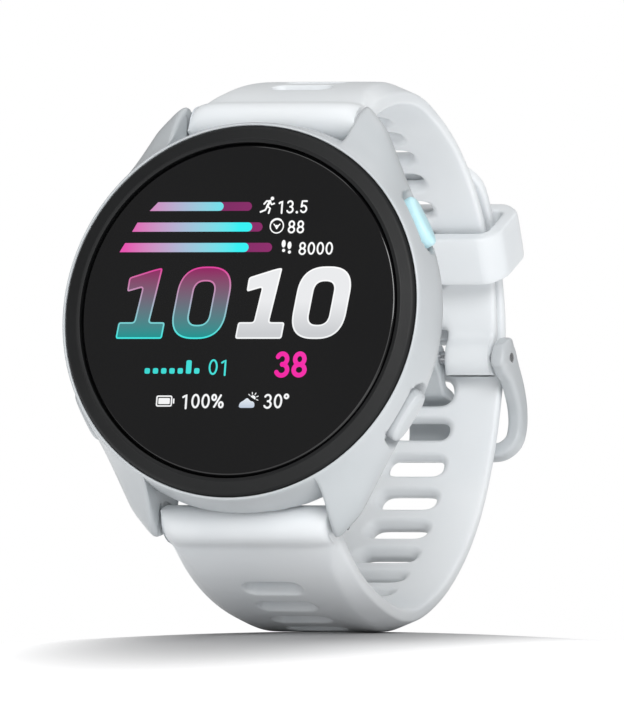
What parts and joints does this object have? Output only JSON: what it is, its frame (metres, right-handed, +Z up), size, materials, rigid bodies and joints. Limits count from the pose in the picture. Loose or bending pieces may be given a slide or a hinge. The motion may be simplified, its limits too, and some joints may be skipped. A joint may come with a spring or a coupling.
{
  "type": "gps running watch",
  "caption": "Round GPS running watch on a buckled silicone strap, with side buttons, a black bezel over a colour display and an optical sensor back.",
  "frame": {"origin": "bottom centre of the bounding box, on the surface that the buckled strap stands on", "axes": "+Z up, +X to the watch's right (start and lap buttons), -Y the way the dial faces, leaning back 10.6 degrees"},
  "size_m": [0.0441, 0.0632, 0.0609],
  "materials": {
    "white_polymer": "satin moulded",
    "white_silicone": "matte silicone",
    "pale_blue_polymer": "satin moulded",
    "charcoal_polymer": "fine matt",
    "cover_glass": "polished, opaque over a dark display",
    "display_glass": "dark laminated panel",
    "sensor_glass": "polished dark window",
    "black_rubber": "matt",
    "board_laminate": "solder mask",
    "steel": "brushed",
    "gold_plate": "plated"
  },
  "bodies": {
    "lower_strap": {"strap_lower": "white_silicone", "spring_bar_lower": "steel"},
    "case": {"case_body": "white_polymer", "rear_cover": "white_polymer", "bezel": "charcoal_polymer", "lens": "cover_glass", "display_panel": "display_glass", "sensor_window": "sensor_glass", "lens_seal": "black_rubber", "rear_cover_seal": "black_rubber", "main_board": "board_laminate", "sensor_board": "board_laminate", "display_bracket": "steel", "shield_can": "steel", "battery": "steel", "vibration_motor": "steel", "rear_screw_1": "steel", "rear_screw_2": "steel", "rear_screw_3": "steel", "rear_screw_4": "steel", "start_button_switch": "steel", "lap_button_switch": "steel", "light_button_switch": "steel", "up_button_switch": "steel", "down_button_switch": "steel", "gps_antenna": "gold_plate", "buzzer": "gold_plate", "charge_contact_1": "gold_plate", "charge_contact_2": "gold_plate", "charge_contact_3": "gold_plate", "charge_contact_4": "gold_plate"},
    "upper_strap": {"strap_upper": "white_silicone", "spring_bar_upper": "steel"},
    "buckle": {"buckle_frame": "white_polymer", "buckle_pin": "steel"},
    "tongue": {"buckle_tongue": "white_polymer"},
    "keeper": {"keeper": "white_silicone"},
    "upper_release": {"release_pin_upper": "steel"},
    "lower_release": {"release_pin_lower": "steel"},
    "start_button": {"start_button": "pale_blue_polymer", "start_button_seal": "black_rubber"},
    "lap_button": {"lap_button": "white_polymer", "lap_button_seal": "black_rubber"},
    "light_button": {"light_button": "white_polymer", "light_button_seal": "black_rubber"},
    "up_button": {"up_button": "white_polymer", "up_button_seal": "black_rubber"},
    "down_button": {"down_button": "white_polymer", "down_button_seal": "black_rubber"}
  },
  "joints": [
    {"name": "lower_strap_hinge", "type": "hinge", "parent": "lower_strap", "child": "case", "pos_m": [0, -0.02436, 0.01194], "axis": [1, 0, 0], "range_deg": [0, 75], "deforming": ["strap_lower"]},
    {"name": "upper_strap_hinge", "type": "hinge", "parent": "case", "child": "upper_strap", "pos_m": [0, -0.01602, 0.05637], "axis": [1, 0, 0], "range_deg": [0, 75], "deforming": ["strap_upper"]},
    {"name": "buckle_hinge", "type": "hinge", "parent": "upper_strap", "child": "buckle", "pos_m": [0, 0.02518, 0.03032], "axis": [1, 0, 0], "range_deg": [0, 8]},
    {"name": "tongue_hinge", "type": "hinge", "parent": "buckle", "child": "tongue", "pos_m": [0, 0.02518, 0.03032], "axis": [1, 0, 0], "range_deg": [0, 8]},
    {"name": "keeper_slide", "type": "slide", "parent": "upper_strap", "child": "keeper", "axis": [0, 0.3965, -0.918], "range_m": [-0.003, 0.003]},
    {"name": "start_button_press", "type": "slide", "parent": "case", "child": "start_button", "axis": [-0.866, -0.0922, -0.4914], "range_m": [0, 0.0005], "stiffness_N_per_m": 600},
    {"name": "lap_button_press", "type": "slide", "parent": "case", "child": "lap_button", "axis": [-0.866, 0.0922, 0.4914], "range_m": [0, 0.0005], "stiffness_N_per_m": 600},
    {"name": "light_button_press", "type": "slide", "parent": "case", "child": "light_button", "axis": [0.866, -0.0922, -0.4914], "range_m": [0, 0.0005], "stiffness_N_per_m": 600},
    {"name": "up_button_press", "type": "slide", "parent": "case", "child": "up_button", "axis": [1, 0, 0], "range_m": [0, 0.0005], "stiffness_N_per_m": 600},
    {"name": "down_button_press", "type": "slide", "parent": "case", "child": "down_button", "axis": [0.866, 0.0922, 0.4914], "range_m": [0, 0.0005], "stiffness_N_per_m": 600},
    {"name": "upper_release_slide", "type": "slide", "parent": "upper_strap", "child": "upper_release", "axis": [1, 0, 0], "range_m": [0, 0.0013], "stiffness_N_per_m": 300},
    {"name": "lower_release_slide", "type": "slide", "parent": "lower_strap", "child": "lower_release", "axis": [1, 0, 0], "range_m": [0, 0.0013], "stiffness_N_per_m": 300}
  ]
}
